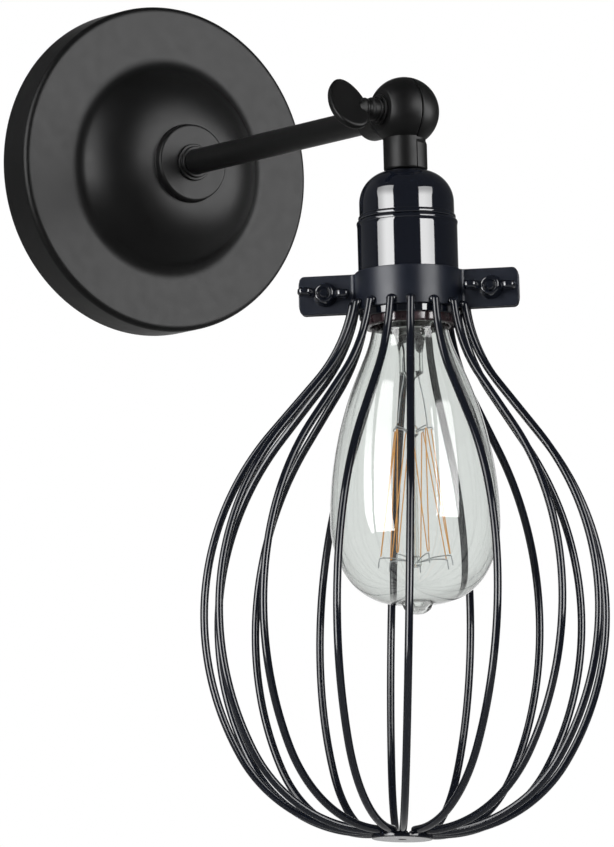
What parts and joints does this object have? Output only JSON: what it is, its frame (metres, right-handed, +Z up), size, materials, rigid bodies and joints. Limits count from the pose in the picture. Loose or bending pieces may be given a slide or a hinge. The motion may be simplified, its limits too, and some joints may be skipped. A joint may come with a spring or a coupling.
{
  "type": "cage wall light",
  "caption": "Wall light with a domed round canopy, straight arm, ball knuckle with thumb screw, rounded lampholder, teardrop lamp and a clamped balloon-shaped wire guard.",
  "frame": {"origin": "centre of the canopy's rear edge, on the wall and on the arm's axis; also the centre of the bracket's two slots", "axes": "+Z up, +Y into the wall, so the light stands out towards -Y; +X to the right as seen from the room"},
  "size_m": [0.1529, 0.2751, 0.3419],
  "materials": {
    "matt_black": "satin-matt black powder coat",
    "gloss_blue_black": "glossy blue-black enamel",
    "zinc_steel": "bright zinc plate",
    "brass": "plain pressed brass",
    "green_screw": "green passivated",
    "white_plastic": "moulded",
    "black_sleeve": "wire insulation",
    "white_sleeve": "wire insulation",
    "green_sleeve": "wire insulation",
    "black_rubber": "moulded",
    "brown_resin": "dark reddish-brown moulding",
    "lamp_glass": "clear blown glass",
    "stem_glass": "clear pressed glass",
    "lamp_cap": "pressed, bright",
    "black_vitrite": "glassy black",
    "golden_filament": "fine coiled wire, amber"
  },
  "bodies": {
    "wall_side": {"canopy": "matt_black", "mounting_bracket": "zinc_steel", "earth_screw": "green_screw", "terminal_block": "white_plastic", "terminal_screws": "brass", "live_lead": "black_sleeve", "neutral_lead": "white_sleeve", "earth_lead": "green_sleeve", "lead_bush": "black_rubber", "arm_collar": "matt_black", "locknut_washer": "zinc_steel", "arm_locknut": "zinc_steel", "arm_tube": "matt_black", "knuckle_arm_half": "matt_black"},
    "thumb_screw": {"thumb_screw": "matt_black", "spring_washer": "matt_black", "flat_washer": "matt_black"},
    "head": {"knuckle_lamp_half": "matt_black", "holder_nipple": "zinc_steel", "nipple_nut": "zinc_steel", "holder_cap": "gloss_blue_black", "holder_ring": "gloss_blue_black", "holder_shell": "gloss_blue_black", "holder_insulator": "brown_resin", "screw_shell": "brass", "centre_contact": "brass", "holder_terminals": "brass", "holder_live_lead": "black_sleeve", "holder_neutral_lead": "white_sleeve"},
    "bulb": {"bulb_glass": "lamp_glass", "bulb_cap": "lamp_cap", "bulb_cap_insulator": "black_vitrite", "bulb_contact": "lamp_cap", "bulb_stem": "stem_glass", "bulb_supports": "zinc_steel", "bulb_filament": "golden_filament"},
    "cage": {"clamp_band_front": "gloss_blue_black", "clamp_band_rear": "gloss_blue_black", "clamp_bolts": "gloss_blue_black", "cage_disc": "gloss_blue_black", "cage_wire_1": "gloss_blue_black", "cage_wire_2": "gloss_blue_black", "cage_wire_3": "gloss_blue_black", "cage_wire_4": "gloss_blue_black", "cage_wire_5": "gloss_blue_black", "cage_wire_6": "gloss_blue_black", "cage_wire_7": "gloss_blue_black", "cage_wire_8": "gloss_blue_black", "cage_wire_9": "gloss_blue_black", "cage_wire_10": "gloss_blue_black", "cage_wire_11": "gloss_blue_black", "cage_wire_12": "gloss_blue_black", "cage_wire_13": "gloss_blue_black", "cage_wire_14": "gloss_blue_black", "cage_wire_15": "gloss_blue_black", "cage_wire_16": "gloss_blue_black"},
    "wing_nut_left": {"wing_nut_left": "gloss_blue_black"},
    "wing_nut_right": {"wing_nut_right": "gloss_blue_black"}
  },
  "joints": [
    {"name": "head_tilt", "type": "hinge", "parent": "wall_side", "child": "head", "pos_m": [0, -0.192, 0], "axis": [-1, 0, 0], "range_deg": [-12, 187]},
    {"name": "thumb_screw_turn", "type": "hinge", "parent": "wall_side", "child": "thumb_screw", "pos_m": [0, -0.192, 0], "axis": [-1, 0, 0], "continuous": true},
    {"name": "bulb_out", "type": "slide", "parent": "head", "child": "bulb", "axis": [0, -0.0471, -0.9989], "range_m": [0, 0.028]},
    {"name": "cage_turn", "type": "hinge", "parent": "head", "child": "cage", "pos_m": [0, -0.19526, -0.06912], "axis": [0, 0.0471, 0.9989], "continuous": true},
    {"name": "wing_nut_left_turn", "type": "hinge", "parent": "cage", "child": "wing_nut_left", "pos_m": [-0.02413, -0.17503, -0.07008], "axis": [-0.6428, -0.7652, 0.0361], "continuous": true},
    {"name": "wing_nut_right_turn", "type": "hinge", "parent": "cage", "child": "wing_nut_right", "pos_m": [0.02413, -0.21549, -0.06817], "axis": [-0.6428, -0.7652, 0.0361], "continuous": true}
  ]
}
